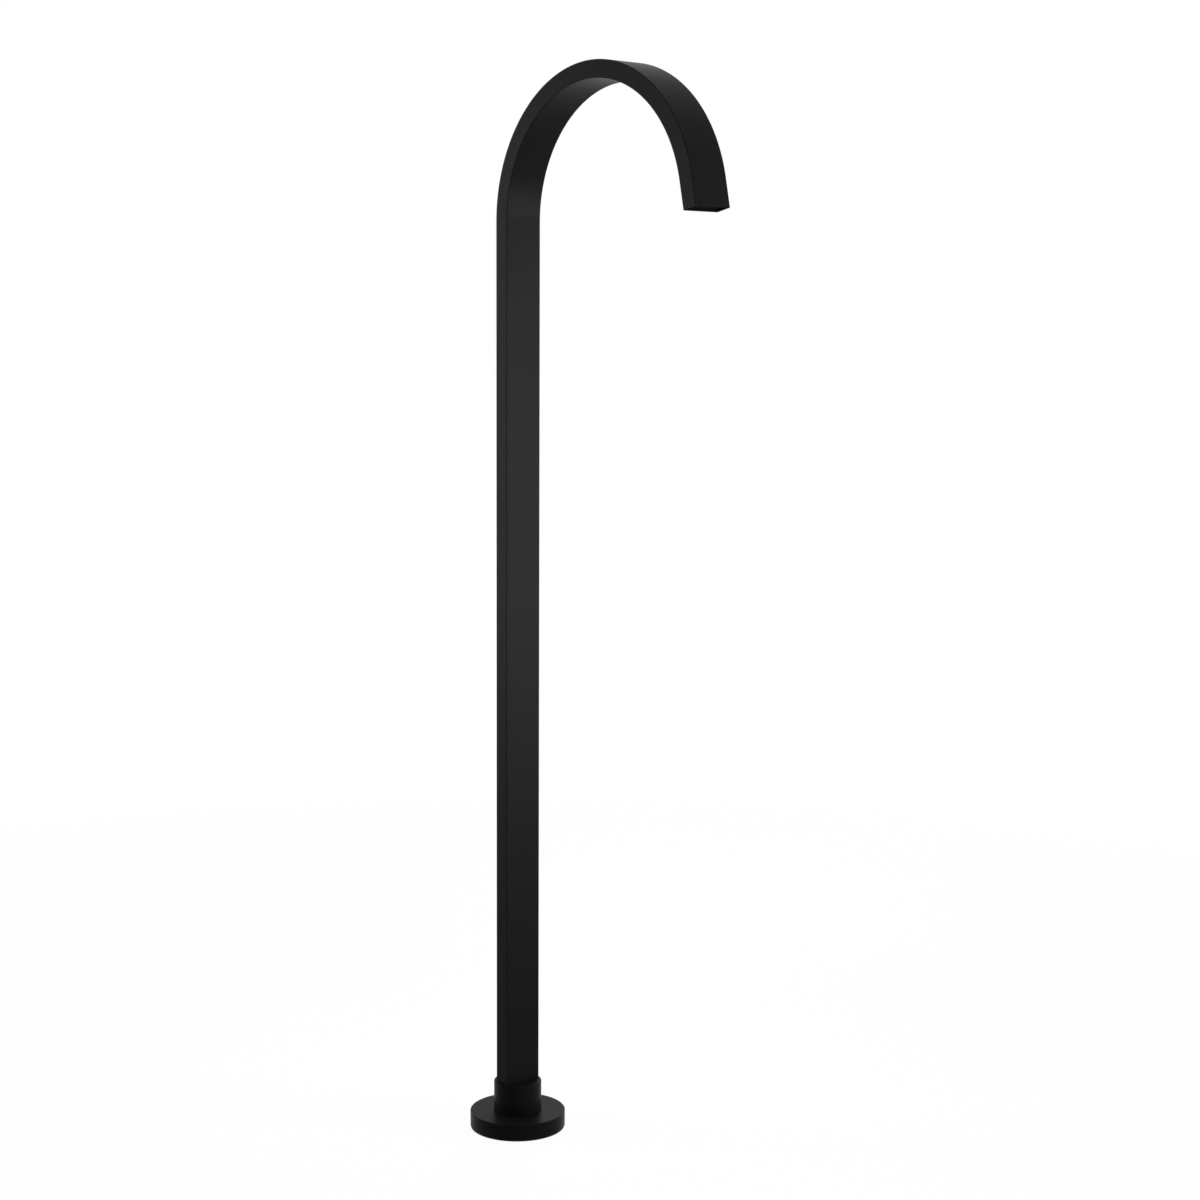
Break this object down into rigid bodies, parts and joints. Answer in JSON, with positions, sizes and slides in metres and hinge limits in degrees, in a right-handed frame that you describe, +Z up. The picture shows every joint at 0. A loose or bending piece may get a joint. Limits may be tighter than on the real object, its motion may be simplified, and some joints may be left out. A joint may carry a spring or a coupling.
{
  "type": "floor standing bath filler",
  "caption": "Floor standing bath filler: a flat tube rises from a round floor cover and bends over in one large arc to a rectangular outlet.",
  "frame": {"origin": "on the floor, on the axis of the riser, at the centre of the ring of bolt holes", "axes": "+Z up along the riser, +X from the riser towards the outlet, Y across the flat tube"},
  "size_m": [0.3157, 0.094, 1.0252],
  "materials": {
    "matt_black": "satin matt black coating on brass",
    "outlet_black": "matt black coating inside the mouth",
    "black_steel": "black oxide on steel",
    "stainless_plate": "turned stainless steel",
    "spigot_brass": "turned brass",
    "sieve_steel": "perforated stainless sheet",
    "seal_rubber": "matt black rubber",
    "bearing_plastic": "off-white acetal",
    "cartridge_plastic": "fine matt black moulding",
    "honeycomb_plastic": "dark grey moulding"
  },
  "bodies": {
    "base": {"floor_gasket": "seal_rubber", "floor_plate": "stainless_plate", "spigot": "spigot_brass", "thrust_washer": "bearing_plastic", "lower_o_ring": "seal_rubber", "upper_o_ring": "seal_rubber", "guide_ring": "bearing_plastic", "inlet_washer": "seal_rubber", "inlet_sieve": "sieve_steel"},
    "standpipe": {"base_collar": "matt_black", "locking_screw": "black_steel", "spout_tube": "matt_black", "outlet_frame": "outlet_black"},
    "cover": {"cover_flange": "matt_black", "cover_o_ring": "seal_rubber", "cover_seal": "seal_rubber"},
    "outlet_cartridge": {"cartridge_housing": "cartridge_plastic", "honeycomb_straightener": "honeycomb_plastic", "flow_screen": "sieve_steel", "cartridge_seal": "seal_rubber"}
  },
  "joints": [
    {"name": "spout_swivel", "type": "hinge", "parent": "base", "child": "standpipe", "pos_m": [0, 0, 0.025], "axis": [0, 0, 1], "continuous": true},
    {"name": "cover_lift", "type": "slide", "parent": "standpipe", "child": "cover", "axis": [0, 0, 1], "range_m": [0, 0.87]},
    {"name": "cartridge_pull", "type": "slide", "parent": "standpipe", "child": "outlet_cartridge", "axis": [0.2079, 0, -0.9781], "range_m": [0, 0.03]}
  ]
}
